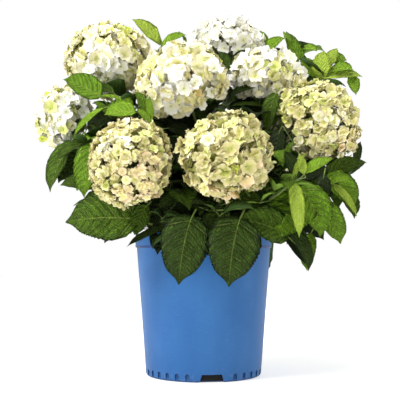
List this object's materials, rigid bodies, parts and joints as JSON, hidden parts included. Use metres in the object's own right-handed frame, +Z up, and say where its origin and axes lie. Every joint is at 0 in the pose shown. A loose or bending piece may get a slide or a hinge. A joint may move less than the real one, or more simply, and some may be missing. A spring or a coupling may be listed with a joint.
{
  "type": "potted hydrangea",
  "caption": "Mophead hydrangea shrub with domed cream and lime flower heads and broad toothed leaves, growing in a tapered blue nursery pot.",
  "frame": {"origin": "centre of the pot's flat underside", "axes": "+Z up along the pot's axis, -Y towards the plant's front, the side with most of its low flower heads"},
  "size_m": [0.5809, 0.5134, 0.6478],
  "materials": {
    "pot": "moulded plastic, satin",
    "potting_mix": "moist crumbs of bark and peat",
    "bark": "thin papery bark",
    "foliage": "mid to dark green leaves with lighter veins",
    "young_foliage": "bright lime green young leaves",
    "blossom": "cream sepals with lime and blush tints"
  },
  "bodies": {
    "root": {"cane_back_centre": "bark", "cane_back_left": "bark", "cane_back_right": "bark", "cane_back_top": "bark", "cane_centre_left": "bark", "cane_far_left": "bark", "cane_front_centre": "bark", "cane_front_left": "bark", "cane_mid_right": "bark", "cane_right": "bark", "cane_top_left": "bark", "cane_top_mid": "bark", "head_back_centre": "blossom", "head_back_left": "blossom", "head_back_right": "blossom", "head_back_top": "blossom", "head_centre_left": "blossom", "head_far_left": "blossom", "head_front_centre": "blossom", "head_front_left": "blossom", "head_mid_right": "blossom", "head_right": "blossom", "head_top_left": "blossom", "head_top_mid": "blossom", "leaves_back_centre": "foliage", "leaves_back_left": "foliage", "leaves_back_right": "foliage", "leaves_back_top": "foliage", "leaves_centre_left": "foliage", "leaves_far_left": "foliage", "leaves_front_centre": "foliage", "leaves_front_left": "foliage", "leaves_mid_right": "foliage", "leaves_right": "foliage", "leaves_side_back": "foliage", "leaves_side_back_left": "foliage", "leaves_side_left": "foliage", "leaves_side_left_back": "foliage", "leaves_side_right": "foliage", "leaves_side_right_back": "foliage", "leaves_skirt_back": "foliage", "leaves_skirt_back_left": "foliage", "leaves_skirt_back_right": "foliage", "leaves_skirt_front": "foliage", "leaves_skirt_front_left": "foliage", "leaves_skirt_front_right": "foliage", "leaves_top_left": "foliage", "leaves_top_mid": "foliage", "leaves_young_far_right": "young_foliage", "leaves_young_left": "young_foliage", "leaves_young_right": "young_foliage", "leaves_young_top_left": "young_foliage", "leaves_young_top_right": "young_foliage", "pot": "pot", "potting_mix": "potting_mix", "stool": "bark"}
  },
  "joints": []
}
